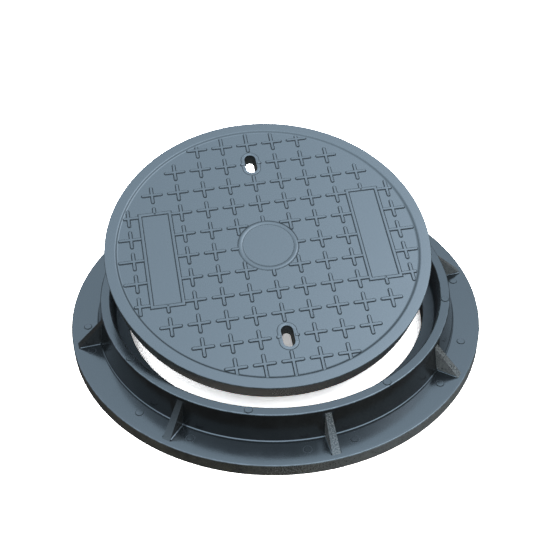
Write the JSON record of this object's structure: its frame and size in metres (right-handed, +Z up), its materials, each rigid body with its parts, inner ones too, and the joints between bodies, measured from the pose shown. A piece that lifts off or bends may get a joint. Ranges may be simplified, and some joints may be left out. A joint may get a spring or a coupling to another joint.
{
  "type": "manhole cover",
  "caption": "Round composite manhole cover with a raised cross tread, plain panels and lifting slots, tipped up out of its flanged frame with gussets.",
  "frame": {"origin": "centre of the frame's underside, on the axis of the clear opening", "axes": "+Z up out of the ground, +Y along the line of the two lifting slots when the cover is seated, towards the slot that is raised"},
  "size_m": [0.9, 0.9, 0.283],
  "materials": {
    "frame_composite": "satin",
    "cover_composite": "satin",
    "reinforcing_steel": "matte"
  },
  "bodies": {
    "frame_body": {"frame": "frame_composite", "flange_outer_hoop": "reinforcing_steel", "flange_inner_hoop": "reinforcing_steel", "seat_hoop": "reinforcing_steel", "collar_hoop": "reinforcing_steel", "radial_ties": "reinforcing_steel", "collar_posts": "reinforcing_steel"},
    "cover_body": {"cover": "cover_composite", "cover_ring_bar": "reinforcing_steel", "cover_bars_x": "reinforcing_steel", "cover_bars_y": "reinforcing_steel"}
  },
  "joints": [
    {"name": "cover_lift", "type": "hinge", "parent": "frame_body", "child": "cover_body", "pos_m": [0, -0.384, 0.218], "axis": [0.9951, 0, 0.0993], "range_deg": [-14.64, 45]}
  ]
}
